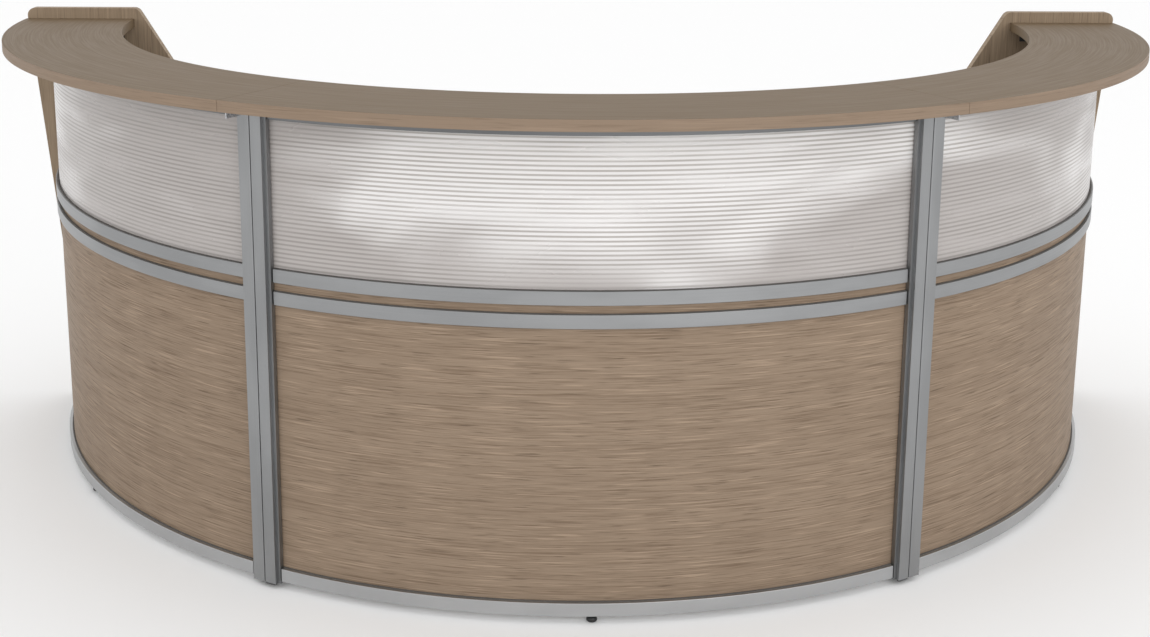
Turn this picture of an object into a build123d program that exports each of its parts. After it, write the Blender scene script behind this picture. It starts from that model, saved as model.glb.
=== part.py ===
"""Curved checkout counter: three 60 degree units, two end panels, on levelling feet.

The fronts of the units lie on arcs about one upright axis. An angle of 0 is the middle of
the front (-Y), and angles grow towards +X. All sizes are in millimetres.
"""
from build123d import *
import os
from math import cos, degrees, radians, sin

os.makedirs("parts", exist_ok=True)

# ---- Driving dimensions -------------------------------------------------------------
COUNTER_RADIUS = 1575.0  # outer edge of the counter top, half the overall width
COUNTER_DEPTH = 305.0
COUNTER_TOP_Z = 1138.0
COUNTER_THICKNESS = 25.0
EDGE_BAND = 2.0

UNIT_SPAN = 60.0
UNIT_GAP = 0.3  # from a unit's end to the plane that it shares with its neighbour

PANEL_FACE_RADIUS = 1453.5  # outer face of the laminate front panels
PANEL_THICKNESS = 12.0
LIGHT_PANEL_THICKNESS = 10.0  # twin-wall sheet
LIGHT_PANEL_SKIN = 0.8
LIGHT_PANEL_RIB = 0.6
FLUTE_PITCH = 10.0

RAIL_FACE_RADIUS = 1462.0
BASE_RAIL_FACE_RADIUS = 1466.0
RAIL_HEIGHT = 31.0
RAIL_BACK_FLANGE = 5.0
RAIL_WEB = 4.0
RAIL_CLEARANCE = 0.5
RAIL_CORNER = 1.5
RAIL_HOLE_CLEARANCE = 0.5
BASE_RAIL_Z = 18.0
LOWER_RAIL_Z = 671.0
UPPER_RAIL_Z = 722.0
TOP_RAIL_Z = 1083.0
GASKET_HEIGHT = 1.2
GASKET_DEPTH = 4.0

POST_BACK_RADIUS = 1425.0
POST_NOSE_RADIUS = 1475.0
POST_SEAM = 0.75
POST_WIDTH = 31.0
POST_FLANGE_END = 38.5
POST_WALL = 2.75
POST_NOSE_CORNER = 5.0
POST_SEAM_CORNER = 2.5
POST_FLANGE_CORNER = 2.0
POST_REAR_STEP = 12.0
POST_Z = 13.0
CAP_HEIGHT = 3.5
RAIL_START = 40.0  # from the joint plane to the cut end of a rail
PANEL_START = 31.6  # from the joint plane to the end of a panel, inside the post's slot

DESK_TOP_Z = 740.0
DESK_THICKNESS = 28.0
DESK_INNER_RADIUS = 985.0
DESK_OUTER_RADIUS = 1423.0

END_PANEL_THICKNESS = 30.0
END_PANEL_TOP_Z = 1168.0
END_PANEL_TOP_INNER_RADIUS = 1260.0
END_PANEL_BASE_OUTER_RADIUS = 1470.0
END_PANEL_CORNER = 22.0
END_PANEL_KNEE = 80.0
END_PANEL_BORE_RADIUS = 7.0
END_PANEL_BORE_DEPTH = 41.0

BRACKET_PLATE = 4.0
LINK_PLATE = 3.0
LEG_RADIUS = 1045.0
LEG_Z = 20.0
LEG_TUBE_RADIUS = 25.0
LEG_TUBE_WALL = 2.0
BEAM_WIDTH = 36.0
BEAM_HEIGHT = 28.0
ANGLE_LEG = 30.0
ANGLE_THICKNESS = 3.0

GLIDE_RADIUS = 12.0
GLIDE_FACE_RADIUS = 9.5
GLIDE_HEIGHT = 12.0
COLLAR_RADIUS = 6.5
COLLAR_TOP_Z = 17.7
STEM_RADIUS = 4.0
STEM_TOP_Z = 46.0
STEM_CLEARANCE = 0.05
FRONT_FOOT_RADIUS = 1447.5
END_FOOT_RADII = {"outer": 1400.0, "inner": 1050.0}
NUT_HEIGHT = 24.0
NUT_BLOCK_DEPTH = 12.4
NUT_BLOCK_WIDTH = 30.0
NUT_NOTCH_WIDTH = 40.0
NUT_NOTCH_HEIGHT = 25.0
LEG_PLUG_HEIGHT = 20.0

SCREW_RADIUS = 2.0
SCREW_HOLE_RADIUS = 2.3
SCREW_HEAD_RADIUS = 4.2
SCREW_HEAD_HEIGHT = 2.4
WOOD_SCREW_LENGTH = 20.0
POST_SCREW_LENGTH = 12.0

# ---- Derived dimensions -------------------------------------------------------------
ARC_CENTER_Y = (COUNTER_RADIUS - END_PANEL_THICKNESS) / 2  # centres the whole depth on Y = 0
ARC_AXIS = Axis((0, ARC_CENTER_Y, 0), (0, 0, 1))
JOINT_ANGLE = UNIT_SPAN / 2
END_ANGLE = UNIT_SPAN * 3 / 2
COUNTER_BOTTOM_Z = COUNTER_TOP_Z - COUNTER_THICKNESS
DESK_BOTTOM_Z = DESK_TOP_Z - DESK_THICKNESS
POST_TOP_Z = COUNTER_BOTTOM_Z - BRACKET_PLATE
POST_SIDE_Z = POST_TOP_Z - POST_Z
SLOT_FRONT_RADIUS = PANEL_FACE_RADIUS + RAIL_CLEARANCE
SLOT_BACK_RADIUS = PANEL_FACE_RADIUS - PANEL_THICKNESS - RAIL_CLEARANCE
UPPER_WEB_Z = UPPER_RAIL_Z + 12.0
TOP_RAIL_TOP_Z = COUNTER_BOTTOM_Z - 1.0
LIGHT_PANEL_TOP_Z = TOP_RAIL_TOP_Z - RAIL_WEB - RAIL_CLEARANCE
LIGHT_PANEL_FACE_RADIUS = PANEL_FACE_RADIUS - 1.0


def radial_plane(angle):
    """Upright plane through the arc's axis: X runs outwards at the angle, Y runs up."""
    a = radians(angle)
    return Plane(origin=(0, ARC_CENTER_Y, 0), x_dir=(sin(a), -cos(a), 0), z_dir=(-cos(a), -sin(a), 0))


def joint_frame(angle):
    """Frame on the floor at the arc's axis: X runs outwards, Y along the arc, Z up."""
    a = radians(angle)
    return Plane(origin=(0, ARC_CENTER_Y, 0), x_dir=(sin(a), -cos(a), 0), z_dir=(0, 0, 1))


def arc_angle(length, radius=PANEL_FACE_RADIUS):
    """Angle that a short length along the arc takes up."""
    return degrees(length / radius)


def save(piece, label):
    piece.part.label = label
    export_step(piece.part, f"parts/{label}.step")


def mirrored(piece):
    """The right-hand twin of a left-hand piece."""
    with BuildPart() as twin:
        mirror(piece.part, about=Plane.YZ)
    return twin


def save_pair(piece, label):
    save(piece, f"{label}_left")
    save(mirrored(piece), f"{label}_right")


def bent_bar(rectangles, start, end, corner=0.0):
    """Bar bent along the arc. Each rectangle is (inner radius, outer radius, bottom, top)."""
    with BuildPart() as bar:
        with BuildSketch(radial_plane(start)) as section:
            for inner, outer, bottom, top in rectangles:
                with Locations(((inner + outer) / 2, (bottom + top) / 2)):
                    Rectangle(outer - inner, top - bottom)
            if corner:
                fillet(section.vertices().group_by(Axis.X)[-1], radius=corner)
        revolve(axis=ARC_AXIS, revolution_arc=end - start)
    return bar


# ---- Boards of each unit ------------------------------------------------------------
def counter_top(start, end):
    inner = COUNTER_RADIUS - COUNTER_DEPTH
    return bent_bar([(inner, COUNTER_RADIUS - EDGE_BAND, COUNTER_BOTTOM_Z, COUNTER_TOP_Z)], start, end)


def counter_edge(start, end):
    band = [(COUNTER_RADIUS - EDGE_BAND, COUNTER_RADIUS, COUNTER_BOTTOM_Z, COUNTER_TOP_Z)]
    return bent_bar(band, start, end, corner=1.0)


def work_surface(start, end):
    return bent_bar([(DESK_INNER_RADIUS, DESK_OUTER_RADIUS, DESK_BOTTOM_Z, DESK_TOP_Z)], start, end)


def front_panel(start, end, middle):
    """Bent laminate board. It stands in the base rail, notched over the foot's nut block."""
    bottom = BASE_RAIL_Z + RAIL_WEB + RAIL_CLEARANCE
    top = UPPER_WEB_Z - RAIL_CLEARANCE
    board = bent_bar([(PANEL_FACE_RADIUS - PANEL_THICKNESS, PANEL_FACE_RADIUS, bottom, top)], start, end)
    with BuildPart() as panel:
        add(board.part)
        with Locations(joint_frame(middle).location * Location((FRONT_FOOT_RADIUS, 0, bottom))):
            Box(3 * PANEL_THICKNESS, NUT_NOTCH_WIDTH, 2 * NUT_NOTCH_HEIGHT, mode=Mode.SUBTRACT)
    return panel


def light_panel(start, end):
    """Twin-wall polycarbonate sheet, its flutes running along the arc."""
    bottom = UPPER_WEB_Z + RAIL_WEB + RAIL_CLEARANCE
    height = LIGHT_PANEL_TOP_Z - bottom
    flute = (LIGHT_PANEL_THICKNESS - 2 * LIGHT_PANEL_SKIN, FLUTE_PITCH - LIGHT_PANEL_RIB)
    flutes = int(height / FLUTE_PITCH)
    with BuildPart() as sheet:
        with BuildSketch(radial_plane(start)):
            with Locations((LIGHT_PANEL_FACE_RADIUS - LIGHT_PANEL_THICKNESS / 2, bottom + height / 2)):
                Rectangle(LIGHT_PANEL_THICKNESS, height)
                with GridLocations(0, FLUTE_PITCH, 1, flutes):
                    Rectangle(*flute, mode=Mode.SUBTRACT)
        revolve(axis=ARC_AXIS, revolution_arc=end - start)
    return sheet


# ---- Rails of each unit -------------------------------------------------------------
def channel(face, bottom, top, web_bottom):
    """Front flange, web and back flange of a rail that grips a panel's edge."""
    return [
        (SLOT_FRONT_RADIUS, face, bottom, top),
        (SLOT_BACK_RADIUS, SLOT_FRONT_RADIUS, web_bottom, web_bottom + RAIL_WEB),
        (SLOT_BACK_RADIUS - RAIL_BACK_FLANGE, SLOT_BACK_RADIUS, bottom, top),
    ]


def top_rail(start, end):
    section = channel(RAIL_FACE_RADIUS, TOP_RAIL_Z, TOP_RAIL_TOP_Z, TOP_RAIL_TOP_Z - RAIL_WEB)
    return bent_bar(section, start, end, RAIL_CORNER)


def upper_rail(start, end):
    top = UPPER_RAIL_Z + RAIL_HEIGHT
    return bent_bar(channel(RAIL_FACE_RADIUS, UPPER_RAIL_Z, top, UPPER_WEB_Z), start, end, RAIL_CORNER)


def lower_rail(start, end):
    bar = [(SLOT_FRONT_RADIUS, RAIL_FACE_RADIUS, LOWER_RAIL_Z, LOWER_RAIL_Z + RAIL_HEIGHT)]
    return bent_bar(bar, start, end, RAIL_CORNER)


def base_rail(start, end, middle):
    """Channel that the front panel stands in, drilled for the levelling foot."""
    top = BASE_RAIL_Z + RAIL_HEIGHT
    section = channel(BASE_RAIL_FACE_RADIUS, BASE_RAIL_Z, top, BASE_RAIL_Z)
    bar = bent_bar(section, start, end, RAIL_CORNER)
    with BuildPart() as rail:
        add(bar.part)
        with Locations(joint_frame(middle).location * Location((FRONT_FOOT_RADIUS, 0, BASE_RAIL_Z))):
            Cylinder(STEM_RADIUS + RAIL_HOLE_CLEARANCE, 4 * RAIL_WEB, mode=Mode.SUBTRACT)
    return rail


def rail_gasket(start, end):
    """Three rubber lips, on top of the base, lower and upper rails."""
    tops = [z + RAIL_HEIGHT for z in (BASE_RAIL_Z, LOWER_RAIL_Z, UPPER_RAIL_Z)]
    lips = [(SLOT_FRONT_RADIUS, SLOT_FRONT_RADIUS + GASKET_DEPTH, z, z + GASKET_HEIGHT) for z in tops]
    return bent_bar(lips, start, end)


# ---- Posts --------------------------------------------------------------------------
def post(angle, side):
    """Hollow extrusion beside the joint plane at the angle. Side 1 is towards larger angles."""
    x_dir = (side * cos(radians(angle)), side * sin(radians(angle)), 0)

    def at(along, radius):
        return (along, -side * radius)

    with BuildPart() as extrusion:
        with BuildSketch(Plane(origin=(0, ARC_CENTER_Y, POST_Z), x_dir=x_dir, z_dir=(0, 0, 1))) as section:
            with BuildLine():
                Polyline(
                    at(POST_SEAM, POST_BACK_RADIUS),
                    at(POST_SEAM, POST_NOSE_RADIUS),
                    at(POST_WIDTH, POST_NOSE_RADIUS),
                    at(POST_WIDTH, BASE_RAIL_FACE_RADIUS),
                    at(POST_FLANGE_END, BASE_RAIL_FACE_RADIUS),
                    at(POST_FLANGE_END, SLOT_FRONT_RADIUS + 1),
                    at(PANEL_START - RAIL_CLEARANCE, SLOT_FRONT_RADIUS + 1),
                    at(PANEL_START - RAIL_CLEARANCE, SLOT_BACK_RADIUS - 1),
                    at(POST_FLANGE_END, SLOT_BACK_RADIUS - 1),
                    at(POST_FLANGE_END, SLOT_BACK_RADIUS - POST_REAR_STEP),
                    at(POST_WIDTH, POST_BACK_RADIUS),
                    close=True,
                )
            make_face()
            corners = section.vertices()
            rounded = [
                (at(POST_SEAM, POST_NOSE_RADIUS), POST_SEAM_CORNER),
                (at(POST_WIDTH, POST_NOSE_RADIUS), POST_NOSE_CORNER),
                (at(POST_FLANGE_END, BASE_RAIL_FACE_RADIUS), POST_FLANGE_CORNER),
            ]
            for corner, radius in rounded:
                fillet(corners.sort_by_distance((*corner, 0))[0], radius=radius)
            cavity = POST_WIDTH - POST_SEAM - 2 * POST_WALL
            middle = (POST_WIDTH + POST_SEAM) / 2
            nose_depth = POST_NOSE_RADIUS - SLOT_FRONT_RADIUS - 3 * POST_WALL
            back_depth = SLOT_FRONT_RADIUS - POST_BACK_RADIUS - 2 * POST_WALL
            with Locations(at(middle, POST_NOSE_RADIUS - 2 * POST_WALL - nose_depth / 2)):
                Rectangle(cavity, nose_depth, mode=Mode.SUBTRACT)
            with Locations(at(middle, POST_BACK_RADIUS + POST_WALL + back_depth / 2)):
                Rectangle(cavity, back_depth, mode=Mode.SUBTRACT)
        extrude(amount=POST_SIDE_Z)
    return extrusion


def post_cap(angle):
    """Plastic cap pushed into the foot of a centre post's nose."""
    depth = POST_NOSE_RADIUS - BASE_RAIL_FACE_RADIUS
    width = POST_WIDTH - POST_SEAM
    middle = (POST_WIDTH + POST_SEAM) / 2
    with BuildPart(joint_frame(angle)) as cap:
        with Locations((POST_NOSE_RADIUS - depth / 2, middle, POST_Z - CAP_HEIGHT / 2)):
            Box(depth - 1, width - 1, CAP_HEIGHT)
        fillet(cap.edges().filter_by(Axis.Z), radius=3.0)
        fillet(cap.faces().sort_by(Axis.Z)[0].edges(), radius=1.2)
    return cap


# ---- End panels ---------------------------------------------------------------------
def end_panel():
    """Upright board that closes the left end, bored at the bottom for two nut inserts."""
    bottom = BASE_RAIL_Z
    knee_z = DESK_BOTTOM_Z
    with BuildPart() as board:
        with BuildSketch(Plane(origin=(0, ARC_CENTER_Y, 0), x_dir=(1, 0, 0), z_dir=(0, -1, 0))) as outline:
            with BuildLine():
                Polyline(
                    (-END_PANEL_BASE_OUTER_RADIUS, bottom),
                    (-COUNTER_RADIUS, END_PANEL_TOP_Z),
                    (-END_PANEL_TOP_INNER_RADIUS, END_PANEL_TOP_Z),
                    (-DESK_INNER_RADIUS, knee_z),
                    (-DESK_INNER_RADIUS, bottom),
                    close=True,
                )
            make_face()
            fillet(outline.vertices().group_by(Axis.Y)[-1], radius=END_PANEL_CORNER)
            knee = outline.vertices().sort_by_distance((-DESK_INNER_RADIUS, knee_z, 0))[0]
            fillet(knee, radius=END_PANEL_KNEE)
        extrude(amount=-END_PANEL_THICKNESS)
        fillet(board.edges().filter_by(GeomType.CIRCLE), radius=1.0)
        for radius in END_FOOT_RADII.values():
            with Locations((-radius, ARC_CENTER_Y + END_PANEL_THICKNESS / 2, bottom)):
                Cylinder(END_PANEL_BORE_RADIUS, 2 * END_PANEL_BORE_DEPTH, mode=Mode.SUBTRACT)
    return board


# ---- Steelwork ----------------------------------------------------------------------
SUPPORT_PLATE_RADII = (1005.0, 1400.0)
SUPPORT_PLATE_WIDTH = 110.0
SUPPORT_SCREWS = [(radius, along) for radius in (1030.0, 1375.0) for along in (-40.0, 40.0)]
LINK_PLATE_HEIGHTS = (150.0, 450.0, 1040.0)
LINK_PLATE_SIZE = 56.0
LINK_SCREWS = [(along, up) for along in (-23.0, 23.0) for up in (-18.0, 18.0)]
SUPPORT_END_PLATE_Z = DESK_BOTTOM_Z - BRACKET_PLATE - LINK_PLATE_SIZE / 2
BRACKET_RADII = (1320.0, 1550.0)
BRACKET_WIDTH = 60.0
BRACKET_RIB = 3.0
BRACKET_RIB_HEIGHT = 14.0
BRACKET_SCREWS = [(radius, along) for radius in (1345.0, 1400.0, 1520.0) for along in (-20.0, 20.0)]
DESK_ANGLE_RADII = (1015.0, 1400.0)
COUNTER_ANGLE_RADII = (1300.0, 1415.0)
ANGLE_SCREW_INSET = 25.0
ANGLE_SCREW_DROP = 18.0


def support_leg(angle):
    """Welded leg under the joint of two work surfaces: tube, beam, top plate and end plate."""
    inner, outer = SUPPORT_PLATE_RADII
    plate_z = DESK_BOTTOM_Z - BRACKET_PLATE
    beam_length = POST_BACK_RADIUS - BRACKET_PLATE - LEG_RADIUS
    leg_height = plate_z - BEAM_HEIGHT - LEG_Z
    with BuildPart(joint_frame(angle)) as leg:
        with Locations(((inner + outer) / 2, 0, plate_z + BRACKET_PLATE / 2)):
            Box(outer - inner, SUPPORT_PLATE_WIDTH, BRACKET_PLATE)
        with Locations((LEG_RADIUS + beam_length / 2, 0, plate_z - BEAM_HEIGHT / 2)):
            Box(beam_length, BEAM_WIDTH, BEAM_HEIGHT)
        with Locations((POST_BACK_RADIUS - BRACKET_PLATE / 2, 0, SUPPORT_END_PLATE_Z)):
            Box(BRACKET_PLATE, LINK_PLATE_SIZE, LINK_PLATE_SIZE)
        with Locations((LEG_RADIUS, 0, (plate_z + LEG_Z) / 2)):
            Cylinder(LEG_TUBE_RADIUS, plate_z - LEG_Z)
        with Locations((LEG_RADIUS, 0, LEG_Z + leg_height / 2)):
            Cylinder(LEG_TUBE_RADIUS - LEG_TUBE_WALL, leg_height, mode=Mode.SUBTRACT)
        with Locations([(radius, along, DESK_BOTTOM_Z) for radius, along in SUPPORT_SCREWS]):
            Hole(SCREW_HOLE_RADIUS, depth=2 * BRACKET_PLATE)
        for along, up in LINK_SCREWS:
            with Locations(Location((POST_BACK_RADIUS, along, SUPPORT_END_PLATE_Z + up), (0, 90, 0))):
                Cylinder(SCREW_HOLE_RADIUS, 3 * BRACKET_PLATE, mode=Mode.SUBTRACT)
    return leg


def counter_bracket(angle):
    """Flat arm on top of a pair of posts, stiffened by a rib under its overhang."""
    inner, outer = BRACKET_RADII
    rib_length = outer - POST_NOSE_RADIUS - 2 * BRACKET_RIB
    with BuildPart(joint_frame(angle)) as bracket:
        with Locations(((inner + outer) / 2, 0, POST_TOP_Z + BRACKET_PLATE / 2)):
            Box(outer - inner, BRACKET_WIDTH, BRACKET_PLATE)
        with Locations((outer - BRACKET_RIB - rib_length / 2, 0, POST_TOP_Z - BRACKET_RIB_HEIGHT / 2)):
            Box(rib_length, BRACKET_RIB, BRACKET_RIB_HEIGHT)
        with Locations([(radius, along, COUNTER_BOTTOM_Z) for radius, along in BRACKET_SCREWS]):
            Hole(SCREW_HOLE_RADIUS, depth=2 * BRACKET_PLATE)
    return bracket


def link_plates(angle):
    """Plates that join the backs of a pair of posts."""
    with BuildPart(joint_frame(angle)) as plates:
        for z in LINK_PLATE_HEIGHTS:
            with Locations((POST_BACK_RADIUS - LINK_PLATE / 2, 0, z)):
                Box(LINK_PLATE, LINK_PLATE_SIZE, LINK_PLATE_SIZE)
            for along, up in LINK_SCREWS:
                with Locations(Location((POST_BACK_RADIUS, along, z + up), (0, 90, 0))):
                    Cylinder(SCREW_HOLE_RADIUS, 3 * LINK_PLATE, mode=Mode.SUBTRACT)
    return plates


def end_bracket():
    """Two steel angles on the left end panel, one under the work surface, one under the counter."""
    spans = ((DESK_ANGLE_RADII, DESK_BOTTOM_Z), (COUNTER_ANGLE_RADII, COUNTER_BOTTOM_Z))
    with BuildPart(joint_frame(-END_ANGLE)) as angles:
        for (inner, outer), top in spans:
            middle = (inner + outer) / 2
            with Locations((middle, ANGLE_LEG / 2, top - ANGLE_THICKNESS / 2)):
                Box(outer - inner, ANGLE_LEG, ANGLE_THICKNESS)
            with Locations((middle, ANGLE_THICKNESS / 2, top - ANGLE_LEG / 2)):
                Box(outer - inner, ANGLE_THICKNESS, ANGLE_LEG)
            for radius in (inner + ANGLE_SCREW_INSET, outer - ANGLE_SCREW_INSET):
                with Locations((radius, ANGLE_SCREW_DROP, top)):
                    Hole(SCREW_HOLE_RADIUS, depth=2 * ANGLE_THICKNESS)
                with Locations(Location((radius, 0, top - ANGLE_SCREW_DROP), (90, 0, 0))):
                    Cylinder(SCREW_HOLE_RADIUS, 3 * ANGLE_THICKNESS, mode=Mode.SUBTRACT)
    return angles


# ---- Fasteners ----------------------------------------------------------------------
def screw_at(place, plate, length):
    """Pan-head screw. The place is on the plate's far side, its Z axis along the screw."""
    with Locations(place * Location((0, 0, -plate - SCREW_HEAD_HEIGHT / 2))):
        Cylinder(SCREW_HEAD_RADIUS, SCREW_HEAD_HEIGHT)
    with Locations(place * Location((0, 0, length / 2 - plate))):
        Cylinder(SCREW_RADIUS, length)


def wood_screws():
    """Screws through the steelwork into the counter, the work surface and the end panels."""
    with BuildPart() as screws:
        for angle in (-JOINT_ANGLE, JOINT_ANGLE):
            frame = joint_frame(angle).location
            for radius, along in BRACKET_SCREWS:
                place = frame * Location((radius, along, COUNTER_BOTTOM_Z))
                screw_at(place, BRACKET_PLATE, WOOD_SCREW_LENGTH)
            for radius, along in SUPPORT_SCREWS:
                screw_at(frame * Location((radius, along, DESK_BOTTOM_Z)), BRACKET_PLATE, WOOD_SCREW_LENGTH)
        for side in (-1, 1):
            frame = joint_frame(side * END_ANGLE).location
            spans = ((DESK_ANGLE_RADII, DESK_BOTTOM_Z), (COUNTER_ANGLE_RADII, COUNTER_BOTTOM_Z))
            for (inner, outer), top in spans:
                for radius in (inner + ANGLE_SCREW_INSET, outer - ANGLE_SCREW_INSET):
                    upright = Location((radius, -side * ANGLE_SCREW_DROP, top))
                    level = Location((radius, 0, top - ANGLE_SCREW_DROP), (-side * 90, 0, 0))
                    screw_at(frame * upright, ANGLE_THICKNESS, WOOD_SCREW_LENGTH)
                    screw_at(frame * level, ANGLE_THICKNESS, WOOD_SCREW_LENGTH)
    return screws


def post_screws():
    """Self-tapping screws through the link plates and leg end plates into the posts."""
    with BuildPart() as screws:
        for angle in (-JOINT_ANGLE, JOINT_ANGLE):
            frame = joint_frame(angle).location
            for along, up in LINK_SCREWS:
                for z in LINK_PLATE_HEIGHTS:
                    place = Location((POST_BACK_RADIUS, along, z + up), (0, 90, 0))
                    screw_at(frame * place, LINK_PLATE, POST_SCREW_LENGTH)
                place = Location((POST_BACK_RADIUS, along, SUPPORT_END_PLATE_Z + up), (0, 90, 0))
                screw_at(frame * place, BRACKET_PLATE, POST_SCREW_LENGTH)
    return screws


# ---- Levelling feet -----------------------------------------------------------------
def foot_places():
    """Where each levelling foot stands, by the name of its node."""
    places = {}
    for unit, turns in (("left", -1), ("center", 0), ("right", 1)):
        frame = joint_frame(turns * UNIT_SPAN).location
        places[f"front_foot_{unit}"] = frame * Location((FRONT_FOOT_RADIUS, 0, 0))
    for side, sign in (("left", -1), ("right", 1)):
        places[f"leg_foot_{side}"] = joint_frame(sign * JOINT_ANGLE).location * Location((LEG_RADIUS, 0, 0))
        for end, radius in END_FOOT_RADII.items():
            y = ARC_CENTER_Y + END_PANEL_THICKNESS / 2
            places[f"end_foot_{side}_{end}"] = Location((sign * radius, y, 0))
    return places


def levelling_foot(place):
    """Domed plastic glide moulded on a threaded steel stem."""
    x, y, _ = place.position
    edge = GLIDE_RADIUS - GLIDE_FACE_RADIUS
    with BuildPart() as foot:
        with BuildSketch(Plane(origin=(x, y, 0), x_dir=(1, 0, 0), z_dir=(0, -1, 0))):
            with BuildLine():
                Polyline((0, 0), (GLIDE_FACE_RADIUS, 0), (GLIDE_RADIUS, edge), (GLIDE_RADIUS, 2 * edge))
                RadiusArc((GLIDE_RADIUS, 2 * edge), (COLLAR_RADIUS, GLIDE_HEIGHT), -GLIDE_HEIGHT)
                Polyline(
                    (COLLAR_RADIUS, GLIDE_HEIGHT),
                    (COLLAR_RADIUS, COLLAR_TOP_Z),
                    (STEM_RADIUS, COLLAR_TOP_Z),
                    (STEM_RADIUS, STEM_TOP_Z),
                    (0, STEM_TOP_Z),
                    (0, 0),
                )
            make_face()
        revolve(axis=Axis((x, y, 0), (0, 0, 1)), revolution_arc=360)
    return foot


def foot_nuts(places):
    """Threaded blocks in the base rails, plugs in the legs and inserts in the end panels."""
    fit = 0.05
    with BuildPart() as nuts:
        for label, place in places.items():
            if label.startswith("front"):
                middle = BASE_RAIL_Z + RAIL_WEB + fit + NUT_HEIGHT / 2
                with Locations(place * Location((0, 0, middle))):
                    Box(NUT_BLOCK_DEPTH, NUT_BLOCK_WIDTH, NUT_HEIGHT)
            elif label.startswith("leg"):
                middle = LEG_Z + LEG_PLUG_HEIGHT / 2
                with Locations(place * Location((0, 0, middle))):
                    Cylinder(LEG_TUBE_RADIUS - LEG_TUBE_WALL - fit, LEG_PLUG_HEIGHT)
            else:
                middle = BASE_RAIL_Z + fit + NUT_HEIGHT / 2
                with Locations(place * Location((0, 0, middle))):
                    Cylinder(END_PANEL_BORE_RADIUS - fit, NUT_HEIGHT)
            with Locations(place * Location((0, 0, middle))):
                Cylinder(STEM_RADIUS + STEM_CLEARANCE, 2 * NUT_HEIGHT, mode=Mode.SUBTRACT)
    return nuts


# ---- Assembly -----------------------------------------------------------------------
def unit_pieces(middle):
    """The ten pieces of the unit whose middle is at the angle, by name."""
    first, last = middle - JOINT_ANGLE, middle + JOINT_ANGLE
    board_ends = (first + arc_angle(UNIT_GAP), last - arc_angle(UNIT_GAP))
    rail_ends = (first + arc_angle(RAIL_START), last - arc_angle(RAIL_START))
    panel_ends = (first + arc_angle(PANEL_START), last - arc_angle(PANEL_START))
    return {
        "counter_top": counter_top(*board_ends),
        "counter_edge": counter_edge(*board_ends),
        "work_surface": work_surface(*board_ends),
        "front_panel": front_panel(*panel_ends, middle),
        "light_panel": light_panel(*panel_ends),
        "top_rail": top_rail(*rail_ends),
        "upper_rail": upper_rail(*rail_ends),
        "lower_rail": lower_rail(*rail_ends),
        "base_rail": base_rail(*rail_ends, middle),
        "rail_gasket": rail_gasket(*rail_ends),
    }


for name, piece in unit_pieces(0).items():
    save(piece, f"{name}_center")
for name, piece in unit_pieces(-UNIT_SPAN).items():
    save_pair(piece, name)

save_pair(post(-JOINT_ANGLE, 1), "center_post")
save_pair(post(-JOINT_ANGLE, -1), "side_post")
save_pair(post(-END_ANGLE, 1), "end_post")
save_pair(post_cap(-JOINT_ANGLE), "post_cap")
save_pair(end_panel(), "end_panel")
save_pair(support_leg(-JOINT_ANGLE), "support_leg")
save_pair(end_bracket(), "end_bracket")
save_pair(counter_bracket(-JOINT_ANGLE), "counter_bracket")
save_pair(link_plates(-JOINT_ANGLE), "link_plates")
save(wood_screws(), "wood_screws")
save(post_screws(), "post_screws")

feet = foot_places()
for label, place in feet.items():
    save(levelling_foot(place), label)
save(foot_nuts(feet), "foot_nuts")
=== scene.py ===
from math import atan2, cos, hypot, pi, radians, sin

import bmesh
import bpy
from mathutils import Matrix, Vector


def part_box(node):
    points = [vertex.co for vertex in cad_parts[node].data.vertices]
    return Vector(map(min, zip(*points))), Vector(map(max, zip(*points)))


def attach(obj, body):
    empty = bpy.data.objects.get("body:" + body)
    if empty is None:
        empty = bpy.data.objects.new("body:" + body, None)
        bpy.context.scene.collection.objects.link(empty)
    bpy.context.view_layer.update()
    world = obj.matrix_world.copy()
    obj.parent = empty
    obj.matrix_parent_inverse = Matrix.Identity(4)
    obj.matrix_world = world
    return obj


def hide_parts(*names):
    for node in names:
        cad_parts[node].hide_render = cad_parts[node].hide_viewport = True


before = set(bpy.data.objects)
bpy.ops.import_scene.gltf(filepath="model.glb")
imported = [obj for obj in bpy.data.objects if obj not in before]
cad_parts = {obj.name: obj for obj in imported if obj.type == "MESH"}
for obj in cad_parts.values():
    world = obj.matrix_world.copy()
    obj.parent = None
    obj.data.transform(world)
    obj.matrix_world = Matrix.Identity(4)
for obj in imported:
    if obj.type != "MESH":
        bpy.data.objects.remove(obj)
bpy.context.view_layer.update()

# ---- Sizes, in metres. The rest are read from the frame ---------------------------------
UNITS = ("left", "center", "right")
SIDES = ("left", "right")
ARC_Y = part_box("end_panel_left")[0].y  # the fronts are arcs about the upright line X = 0, Y = ARC_Y
ARC_RADIUS = 1.45  # turns an angle into a length along the fronts
ARC_STEP = radians(0.75)
SLOT_WIDTH = 0.013
RAIL_BACK_FLANGE = 0.005
RAIL_WEB = 0.004
UPPER_WEB_RISE = 0.012
FLUTE_PITCH = 0.010
FLUTE_DEPTH = 0.0003
POINTS_PER_FLUTE = 6
SHEET_SKIN = 0.0008
SHEET_RIB = 0.0006
PAINTED_LIGHT_SHIFT = 5.2  # places the painted light clouds in the sheets
GLIDE_SKIRT = 0.0025
GLIDE_HEIGHT = 0.012
GLIDE_FACE_RADIUS = 0.0095
COLLAR_RADIUS = 0.0065
COLLAR_HEIGHT = 0.0177
STEM_RADIUS = 0.004
THREAD_PITCH = 0.00125
THREAD_DEPTH = 0.0006
RINGS_PER_THREAD = 6
DOME_STEPS = 8
FOOT_SEGMENTS = 32


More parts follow.
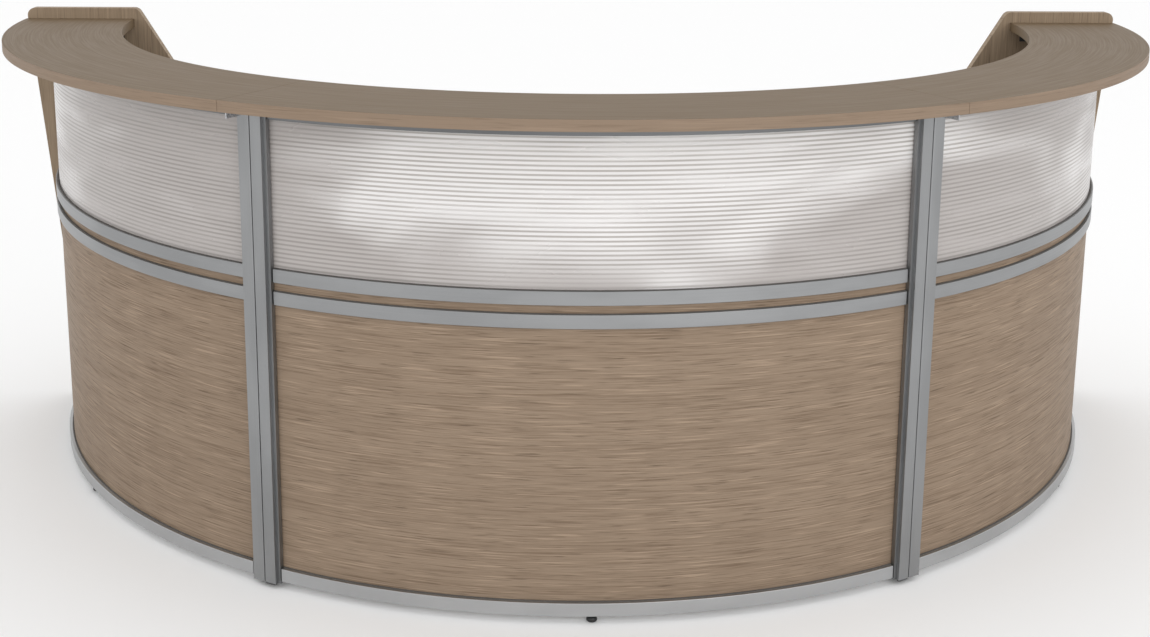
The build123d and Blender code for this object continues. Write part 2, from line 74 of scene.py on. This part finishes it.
# ---- Mesh helpers -----------------------------------------------------------------------
def arc_box(node):
    """Inner and outer radius, bottom and top, first and last angle of a node bent along the arc."""
    points = [v.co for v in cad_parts[node].data.vertices]
    radii = [hypot(p.x, p.y - ARC_Y) for p in points]
    angles = [atan2(p.x, ARC_Y - p.y) for p in points]
    heights = [p.z for p in points]
    return min(radii), max(radii), min(heights), max(heights), min(angles), max(angles)


def polar(radius, angle, z):
    return Vector((radius * sin(angle), ARC_Y - radius * cos(angle), z))


def finish_mesh(name, mesh, material, node, body, bevel=0.0, sharp=radians(35)):
    """Turns a bmesh into an object that stands for the CAD node and rides on its body."""
    bmesh.ops.recalc_face_normals(mesh, faces=mesh.faces)
    data = bpy.data.meshes.new(name)
    mesh.to_mesh(data)
    mesh.free()
    data.shade_smooth()
    data.set_sharp_from_angle(angle=sharp)
    piece = bpy.data.objects.new(name, data)
    bpy.context.scene.collection.objects.link(piece)
    data.materials.append(material)
    if bevel:
        rounding = piece.modifiers.new("edge_rounding", "BEVEL")
        rounding.width = bevel
        rounding.segments = 2
        rounding.limit_method = "ANGLE"
        rounding.angle_limit = sharp
        rounding.harden_normals = True
    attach(piece, body)
    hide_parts(node)
    return piece


def add_sweep(mesh, section, start, end):
    """Adds a bar bent along the arc. The section is a closed loop of (radius, z) points."""
    steps = max(2, round((end - start) / ARC_STEP))
    rings = []
    for i in range(steps + 1):
        angle = start + (end - start) * i / steps
        rings.append([mesh.verts.new(polar(radius, angle, z)) for radius, z in section])
    count = len(section)
    for first, second in zip(rings, rings[1:]):
        for i in range(count):
            j = (i + 1) % count
            mesh.faces.new((first[i], first[j], second[j], second[i]))
    mesh.faces.new(rings[0])
    mesh.faces.new(reversed(rings[-1]))


def rectangle(inner, outer, bottom, top):
    return [(inner, bottom), (outer, bottom), (outer, top), (inner, top)]


def swept(node, sections, material, bevel):
    """Replaces a bent CAD node by bars with finely divided arcs and rounded edges."""
    *_, start, end = arc_box(node)
    mesh = bmesh.new()
    for section in sections:
        add_sweep(mesh, section, start, end)
    return finish_mesh(f"{node}_visual", mesh, material, node, "counter", bevel)


# ---- Material helpers -------------------------------------------------------------------
def srgb(*values):
    """Linear colour, with alpha, of three display values from 0 to 255."""
    shares = [value / 255 for value in values]
    return tuple(s / 12.92 if s <= 0.04 else ((s + 0.055) / 1.055) ** 2.4 for s in shares) + (1.0,)


class Shader:
    """A material's node tree, with short ways to add and join nodes."""

    def __init__(self, name, values):
        self.material = bpy.data.materials.new(name)
        self.material.use_nodes = True
        self.tree = self.material.node_tree
        self.surface = self.tree.nodes["Principled BSDF"]
        for key, value in values.items():
            self.surface.inputs[key].default_value = value

    def add(self, kind, **settings):
        node = self.tree.nodes.new(kind)
        for key, value in settings.items():
            setattr(node, key, value)
        return node

    def join(self, source, target):
        self.tree.links.new(source, target)

    def put(self, value, target):
        if isinstance(value, bpy.types.NodeSocket):
            self.join(value, target)
        else:
            target.default_value = value

    def math(self, operation, first, second=0.0):
        node = self.add("ShaderNodeMath", operation=operation)
        self.put(first, node.inputs[0])
        self.put(second, node.inputs[1])
        return node.outputs[0]

    def position(self):
        """X, Y and Z in the row frame."""
        split = self.add("ShaderNodeSeparateXYZ")
        self.join(self.add("ShaderNodeTexCoord").outputs["Object"], split.inputs[0])
        return split.outputs

    def arc_position(self):
        """Length along the arc, distance from its axis, and height."""
        x, y, z = self.position()
        inward = self.math("SUBTRACT", ARC_Y, y)
        across = self.math("MULTIPLY", x, x)
        squares = self.math("ADD", across, self.math("MULTIPLY", inward, inward))
        radius = self.math("SQRT", squares)
        along = self.math("MULTIPLY", self.math("ARCTAN2", x, inward), ARC_RADIUS)
        return along, radius, z

    def noise(self, place, scales, detail=2.0, roughness=0.5, distortion=0.0):
        """Noise whose features have 1 / scale metres along each direction of the place."""
        vector = self.add("ShaderNodeCombineXYZ")
        for socket, value, scale in zip(vector.inputs, place, scales):
            self.join(self.math("MULTIPLY", value, scale), socket)
        node = self.add("ShaderNodeTexNoise")
        self.join(vector.outputs[0], node.inputs["Vector"])
        node.inputs["Scale"].default_value = 1.0
        node.inputs["Detail"].default_value = detail
        node.inputs["Roughness"].default_value = roughness
        node.inputs["Distortion"].default_value = distortion
        return node.outputs["Fac"]

    def ramp(self, value, low, high, first=0.0, last=1.0):
        node = self.add("ShaderNodeMapRange", interpolation_type="SMOOTHSTEP")
        self.join(value, node.inputs["Value"])
        keys = ("From Min", "From Max", "To Min", "To Max")
        for key, number in zip(keys, (low, high, first, last)):
            node.inputs[key].default_value = number
        return node.outputs["Result"]

    def mix(self, factor, first, second, blend="MIX"):
        node = self.add("ShaderNodeMix", data_type="RGBA", blend_type=blend)
        self.put(factor, node.inputs["Factor"])
        self.put(first, node.inputs[6])
        self.put(second, node.inputs[7])
        return node.outputs[2]

    def color(self, socket):
        self.join(socket, self.surface.inputs["Base Color"])

    def roughness(self, socket):
        self.join(socket, self.surface.inputs["Roughness"])

    def bump(self, height, depth, strength=0.5):
        node = self.add("ShaderNodeBump")
        node.inputs["Strength"].default_value = strength
        node.inputs["Distance"].default_value = depth
        self.join(height, node.inputs["Height"])
        self.join(node.outputs["Normal"], self.surface.inputs["Normal"])


# ---- Materials --------------------------------------------------------------------------
def laminate(name, light, dark, place_of, contrast=1.0, gloss=0.08):
    """Printed wood-grain laminate. Its grain runs along the first direction of the place."""
    shader = Shader(name, {"Roughness": 0.5, "Specular IOR Level": gloss})
    place = place_of(shader)
    bands = shader.noise(place, (1.0, 6.0, 40.0), detail=2.0)
    streaks = shader.noise(place, (5.0, 20.0, 260.0), detail=4.0, roughness=0.65)
    fibres = shader.noise(place, (7.0, 20.0, 300.0), detail=2.0)
    pores = shader.noise(place, (10.0, 20.0, 380.0), detail=2.0, roughness=0.6)
    tone = shader.mix(shader.ramp(bands, 0.35, 0.65, 0.0, 0.2 * contrast), light, dark)
    tone = shader.mix(shader.ramp(streaks, 0.46, 0.70, 0.0, 0.8 * contrast), tone, dark)
    tone = shader.mix(shader.ramp(fibres, 0.35, 0.75, 0.0, 0.3 * contrast), tone, dark)
    deep = tuple(0.6 * c for c in dark[:3]) + (1.0,)
    tone = shader.mix(shader.ramp(pores, 0.58, 0.70, 0.0, 0.7 * contrast), tone, deep)
    pale = tuple(min(1.0, 1.28 * c) for c in light[:3]) + (1.0,)
    tone = shader.mix(shader.ramp(fibres, 0.54, 0.68, 0.0, 0.8 * contrast), tone, pale)
    shader.color(tone)
    shader.roughness(shader.ramp(streaks, 0.3, 0.7, 0.44, 0.56))
    shader.bump(pores, 0.00015, 0.35)
    return shader.material


def arc_grain(shader):
    """Grain that follows the arc and is fine up and down."""
    return shader.arc_position()


def top_grain(shader):
    """Grain that follows the arc and is fine across a board that lies flat."""
    along, radius, z = shader.arc_position()
    return along, z, radius


def upright_grain(shader):
    """Grain that runs up and down and is fine across the end panels."""
    x, y, z = shader.position()
    return z, y, x


def polycarbonate():
    """Milky twin-wall sheet: each rib shows as a duller line, with painted light in soft clouds and
    towards the middle, and painted shade towards the outer ends and the bottom.
    """
    values = {"Roughness": 0.3, "Transmission Weight": 0.12, "IOR": 1.45}
    shader = Shader("polycarbonate_milky", values)
    along, radius, z = shader.arc_position()
    bottom = arc_box("light_panel_center")[2]
    phase = shader.math("MULTIPLY", shader.math("SUBTRACT", z, bottom), 2 * pi / FLUTE_PITCH)
    stripe = shader.ramp(shader.math("COSINE", phase), -0.1, 0.6)
    # Painted light and shade: bright clouds, lighter towards the middle, darker towards the outer ends
    # and the bottom.
    shifted = shader.math("ADD", along, PAINTED_LIGHT_SHIFT)
    painted_light_clouds = shader.noise((shifted, radius, z), (1.6, 1.6, 3.2), detail=2.0, distortion=0.6)
    distance = shader.math("ABSOLUTE", along)
    outer_shade = shader.ramp(distance, 0.15, 0.9, -0.09, 0.10)
    lower_shade = shader.ramp(z, bottom, bottom + 0.20, 0.15, 0.0)
    shade = shader.math("ADD", outer_shade, lower_shade)
    painted_glow = shader.ramp(shader.math("SUBTRACT", painted_light_clouds, shade), 0.36, 0.64)
    sheet = shader.mix(painted_glow, srgb(184, 178, 175), srgb(240, 238, 237))
    dull = shader.mix(painted_glow, srgb(158, 152, 148), srgb(184, 178, 174))
    fade = shader.noise((along, radius, z), (3.0, 3.0, 24.0), detail=2.0)
    ribs = shader.math("MULTIPLY", stripe, shader.ramp(fade, 0.25, 0.6, 0.35, 1.0))
    shader.color(shader.mix(ribs, sheet, dull))
    shader.roughness(shader.ramp(fade, 0.2, 0.8, 0.24, 0.36))
    return shader.material


def aluminium(name, place_of, dark, light):
    """Clear anodised extrusion with faint die lines along its length."""
    shader = Shader(name, {"Metallic": 1.0, "Roughness": 0.4})
    place = place_of(shader)
    lines = shader.noise(place, (2.0, 900.0, 900.0), detail=3.0)
    patches = shader.noise(place, (4.0, 14.0, 14.0), detail=2.0)
    shader.color(shader.mix(shader.ramp(patches, 0.3, 0.7), dark, light))
    shader.roughness(shader.ramp(lines, 0.25, 0.75, 0.36, 0.48))
    shader.bump(lines, 0.00005, 0.25)
    return shader.material


def powder_coat():
    shader = Shader("powder_coat_dark", {"Roughness": 0.5})
    place = shader.position()
    grain = shader.noise(place, (700.0, 700.0, 700.0), detail=2.0)
    patches = shader.noise(place, (9.0, 9.0, 9.0), detail=3.0)
    shader.color(shader.mix(shader.ramp(patches, 0.3, 0.7), srgb(50, 51, 53), srgb(60, 61, 63)))
    shader.roughness(shader.ramp(grain, 0.3, 0.7, 0.42, 0.62))
    shader.bump(grain, 0.0002, 0.5)
    return shader.material


def zinc():
    shader = Shader("zinc_plate", {"Metallic": 1.0, "Roughness": 0.35})
    place = shader.position()
    spangle = shader.noise(place, (400.0, 400.0, 400.0), detail=3.0)
    shader.color(shader.mix(shader.ramp(spangle, 0.3, 0.7), srgb(168, 169, 172), srgb(205, 206, 208)))
    shader.roughness(shader.ramp(spangle, 0.3, 0.7, 0.25, 0.45))
    shader.bump(spangle, 0.0001, 0.3)
    return shader.material


def moulded(name, roughness, grain_size, dark, light):
    """Moulded plastic or rubber with a fine matt grain."""
    shader = Shader(name, {"Roughness": roughness})
    place = shader.position()
    grain = shader.noise(place, (1 / grain_size,) * 3, detail=3.0)
    shader.color(shader.mix(shader.ramp(grain, 0.3, 0.7), dark, light))
    shader.roughness(shader.ramp(grain, 0.3, 0.7, roughness - 0.06, roughness + 0.1))
    shader.bump(grain, grain_size / 6, 0.4)
    return shader.material


WOOD_LIGHT = srgb(146, 128, 110)
WOOD_DARK = srgb(111, 93, 77)
front_laminate = laminate("laminate_front", WOOD_LIGHT, WOOD_DARK, arc_grain)
# Painted light: the end panels' laminate is lighter than on the fronts because of how the light falls on
# them; its grain runs upright.
lit_end_laminate = laminate(
    "laminate_end", srgb(156, 138, 117), srgb(124, 106, 87), upright_grain, contrast=0.7
)
# Painted shade: the laminate on the tops is darker than on the fronts because of how the light falls on
# them; the work surfaces share it.
shaded_top_laminate = laminate(
    "laminate_top", srgb(111, 94, 73), srgb(103, 87, 67), top_grain, contrast=0.12, gloss=0.12
)
edge_laminate = laminate(
    "laminate_edge", srgb(140, 122, 105), srgb(119, 101, 85), arc_grain, contrast=0.45
)
milky_sheet = polycarbonate()
# One anodised finish in four tones, which stand in for how the light falls on each extrusion.
rail_aluminium = aluminium(
    "anodised_rail", arc_grain, srgb(146, 147, 148), srgb(154, 155, 156)
)
base_aluminium = aluminium(
    "anodised_base_rail", arc_grain, srgb(176, 177, 178), srgb(184, 185, 186)
)
shaded_aluminium = aluminium(
    "anodised_top_rail", arc_grain, srgb(112, 113, 114), srgb(120, 121, 122)
)
post_aluminium = aluminium(
    "anodised_post", upright_grain, srgb(144, 145, 146), srgb(152, 153, 154)
)
dark_steel = powder_coat()
zinc_steel = zinc()
foot_plastic = moulded("moulded_nylon", 0.4, 0.0006, srgb(20, 20, 21), srgb(34, 34, 35))
gasket_rubber = moulded("gasket_rubber_matt", 0.75, 0.0009, srgb(84, 81, 78), srgb(98, 95, 92))


# ---- Boards -----------------------------------------------------------------------------
def replace_board(node, material, bevel):
    inner, outer, bottom, top, *_ = arc_box(node)
    return swept(node, [rectangle(inner, outer, bottom, top)], material, bevel)


def replace_light_panel(node):
    """Front skin with a shallow scallop over each flute, ribs, and a back skin to match."""
    inner, outer, bottom, top, *_ = arc_box(node)
    count = int((top - bottom) / FLUTE_PITCH)
    pitch = (top - bottom) / count
    steps = count * POINTS_PER_FLUTE
    heights = [bottom + (top - bottom) * i / steps for i in range(steps + 1)]
    sink = [FLUTE_DEPTH * (1 + cos(2 * pi * (z - bottom) / pitch)) / 2 for z in heights]
    front = [(outer - dip, z) for dip, z in zip(sink, heights)]
    back = [(inner + dip, z) for dip, z in zip(sink, heights)]
    front_skin = front + [(outer - SHEET_SKIN, z) for z in (top, bottom)]
    back_skin = back + [(inner + SHEET_SKIN, z) for z in (top, bottom)]
    ribs = []
    half = SHEET_RIB / 2
    for i in range(count + 1):
        z = min(max(bottom + pitch * i, bottom + half), top - half)
        ribs.append(rectangle(inner + SHEET_SKIN, outer - SHEET_SKIN, z - half, z + half))
    return swept(node, [front_skin, back_skin, *ribs], milky_sheet, 0.0)


for unit in UNITS:
    replace_board(f"counter_top_{unit}", shaded_top_laminate, 0.0006)
    replace_board(f"counter_edge_{unit}", edge_laminate, 0.0008)
    replace_board(f"work_surface_{unit}", shaded_top_laminate, 0.001)
    replace_board(f"front_panel_{unit}", front_laminate, 0.0005)
    replace_light_panel(f"light_panel_{unit}")


# ---- Rails ------------------------------------------------------------------------------
def channel_section(inner, outer, bottom, top, web_bottom):
    """Closed outline of a rail with a slot above and a slot below its web."""
    back = inner + RAIL_BACK_FLANGE
    front = back + SLOT_WIDTH
    outline = [(inner, bottom), (back, bottom)]
    if web_bottom > bottom:
        outline += [(back, web_bottom), (front, web_bottom), (front, bottom)]
    outline += [(outer, bottom), (outer, top)]
    if web_bottom + RAIL_WEB < top - 1e-6:
        web_top = web_bottom + RAIL_WEB
        outline += [(front, top), (front, web_top), (back, web_top), (back, top)]
    return outline + [(inner, top)]


def replace_rail(node, web_rise, material):
    inner, outer, bottom, top, *_ = arc_box(node)
    web_bottom = top - RAIL_WEB if web_rise is None else bottom + web_rise
    swept(node, [channel_section(inner, outer, bottom, top, web_bottom)], material, 0.0012)


for unit in UNITS:
    replace_rail(f"top_rail_{unit}", None, shaded_aluminium)
    replace_rail(f"upper_rail_{unit}", UPPER_WEB_RISE, rail_aluminium)
    replace_rail(f"base_rail_{unit}", 0.0, base_aluminium)
    replace_board(f"lower_rail_{unit}", rail_aluminium, 0.0012)


# ---- Levelling feet ---------------------------------------------------------------------
def foot_outline(top):
    """Half outline of a glide and its threaded stem, from the floor up, as (radius, z) points."""
    low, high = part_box("front_foot_center")
    glide = (high.x - low.x) / 2
    points = [(GLIDE_FACE_RADIUS, 0.0), (glide, GLIDE_SKIRT), (glide, 2 * GLIDE_SKIRT)]
    dome = GLIDE_HEIGHT - 2 * GLIDE_SKIRT
    for i in range(1, DOME_STEPS + 1):
        turn = pi / 2 * i / DOME_STEPS
        radius = COLLAR_RADIUS + (glide - COLLAR_RADIUS) * cos(turn)
        points.append((radius, 2 * GLIDE_SKIRT + dome * sin(turn)))
    points += [(COLLAR_RADIUS, COLLAR_HEIGHT), (STEM_RADIUS, COLLAR_HEIGHT)]
    stem = top - COLLAR_HEIGHT
    rings = int(stem / THREAD_PITCH * RINGS_PER_THREAD)
    points += [(STEM_RADIUS, COLLAR_HEIGHT + stem * i / rings) for i in range(1, rings + 1)]
    return points


def threaded_radius(z, turn, top):
    """Radius of the stem at a height and a turn: a helical groove that runs out at both ends."""
    phase = (z / THREAD_PITCH - turn / (2 * pi)) % 1.0
    ends = min(1.0, (z - COLLAR_HEIGHT) / THREAD_PITCH, (top - z) / THREAD_PITCH)
    return STEM_RADIUS - THREAD_DEPTH * (1 - abs(2 * phase - 1)) * max(0.0, ends)


def replace_foot(node):
    """Lathed foot with a helical groove. It rides on its own body, so it follows its joint."""
    low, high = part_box(node)
    center = (low + high) / 2
    mesh = bmesh.new()
    rings = []
    for radius, z in foot_outline(high.z):
        ring = []
        for i in range(FOOT_SEGMENTS):
            turn = 2 * pi * i / FOOT_SEGMENTS
            reach = threaded_radius(z, turn, high.z) if z > COLLAR_HEIGHT else radius
            x, y = center.x + reach * cos(turn), center.y + reach * sin(turn)
            ring.append(mesh.verts.new((x, y, low.z + z)))
        rings.append(ring)
    for first, second in zip(rings, rings[1:]):
        for i in range(FOOT_SEGMENTS):
            j = (i + 1) % FOOT_SEGMENTS
            mesh.faces.new((first[i], first[j], second[j], second[i]))
    mesh.faces.new(reversed(rings[0]))
    mesh.faces.new(rings[-1])
    finish_mesh(f"{node}_visual", mesh, foot_plastic, node, f"{node}_body")


for node in [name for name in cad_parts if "_foot_" in name]:
    replace_foot(node)


# ---- CAD nodes that keep their shape ----------------------------------------------------
def dress(material, *names):
    for name in names:
        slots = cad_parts[name].data.materials
        for i in range(len(slots)):
            slots[i] = material


for side in SIDES:
    dress(post_aluminium, f"center_post_{side}", f"side_post_{side}", f"end_post_{side}")
    dress(lit_end_laminate, f"end_panel_{side}")
    dress(dark_steel, f"support_leg_{side}", f"end_bracket_{side}", f"link_plates_{side}")
    dress(zinc_steel, f"counter_bracket_{side}")
    dress(foot_plastic, f"post_cap_{side}")
for unit in UNITS:
    dress(gasket_rubber, f"rail_gasket_{unit}")
dress(zinc_steel, "wood_screws", "post_screws", "foot_nuts")


# ---- Studio -----------------------------------------------------------------------------
def studio_floor():
    bpy.ops.mesh.primitive_circle_add(vertices=96, radius=60, fill_type="NGON", location=(0, 0, -0.0005))
    floor = bpy.context.object
    floor.name = "studio_floor"
    shader = Shader("studio_floor_paint", {"Roughness": 0.85, "Base Color": srgb(247, 247, 247)})
    floor.data.materials.append(shader.material)


def soft_light(name, location, target, size, energy):
    data = bpy.data.lights.new(name, "AREA")
    data.shape = "RECTANGLE"
    data.size, data.size_y = size
    data.energy = energy
    lamp = bpy.data.objects.new(name, data)
    bpy.context.scene.collection.objects.link(lamp)
    lamp.location = location
    lamp.rotation_euler = (Vector(target) - Vector(location)).to_track_quat("-Z", "Y").to_euler()


def studio_world():
    world = bpy.data.worlds.new("studio")
    bpy.context.scene.world = world
    world.use_nodes = True
    background = world.node_tree.nodes["Background"]
    background.inputs["Color"].default_value = (1.0, 1.0, 1.0, 1.0)
    background.inputs["Strength"].default_value = 1.05


def make_camera():
    """Camera in front, a little left of the middle, at 1.7 m, looking down at the counter."""
    data = bpy.data.cameras.new("camera")
    camera = bpy.data.objects.new("camera", data)
    bpy.context.scene.collection.objects.link(camera)
    yaw, pitch, roll = radians(1.786), radians(12.623), radians(0.480)
    forward = Vector((sin(yaw) * cos(pitch), cos(yaw) * cos(pitch), -sin(pitch)))
    level = Vector((cos(yaw), -sin(yaw), 0))
    up = level.cross(forward)
    right = level * cos(roll) + up * sin(roll)
    tilted_up = up * cos(roll) - level * sin(roll)
    turn = Matrix((right, tilted_up, -forward)).transposed()
    camera.matrix_world = Matrix.Translation((-0.1498, ARC_Y - 4.7452, 1.7262)) @ turn.to_4x4()
    data.sensor_width = 36.0
    data.lens = 51.43
    data.shift_x = 0.001
    data.shift_y = -0.12
    bpy.context.scene.camera = camera


studio_floor()
studio_world()
soft_light("key", (2.6, -5.6, 2.6), (0, -0.4, 0.7), (3.6, 2.4), 70)
soft_light("fill", (-3.6, -4.6, 2.4), (-0.2, -0.4, 0.7), (3.0, 2.4), 12)
make_camera()
bpy.context.scene.view_settings.view_transform = "Standard"
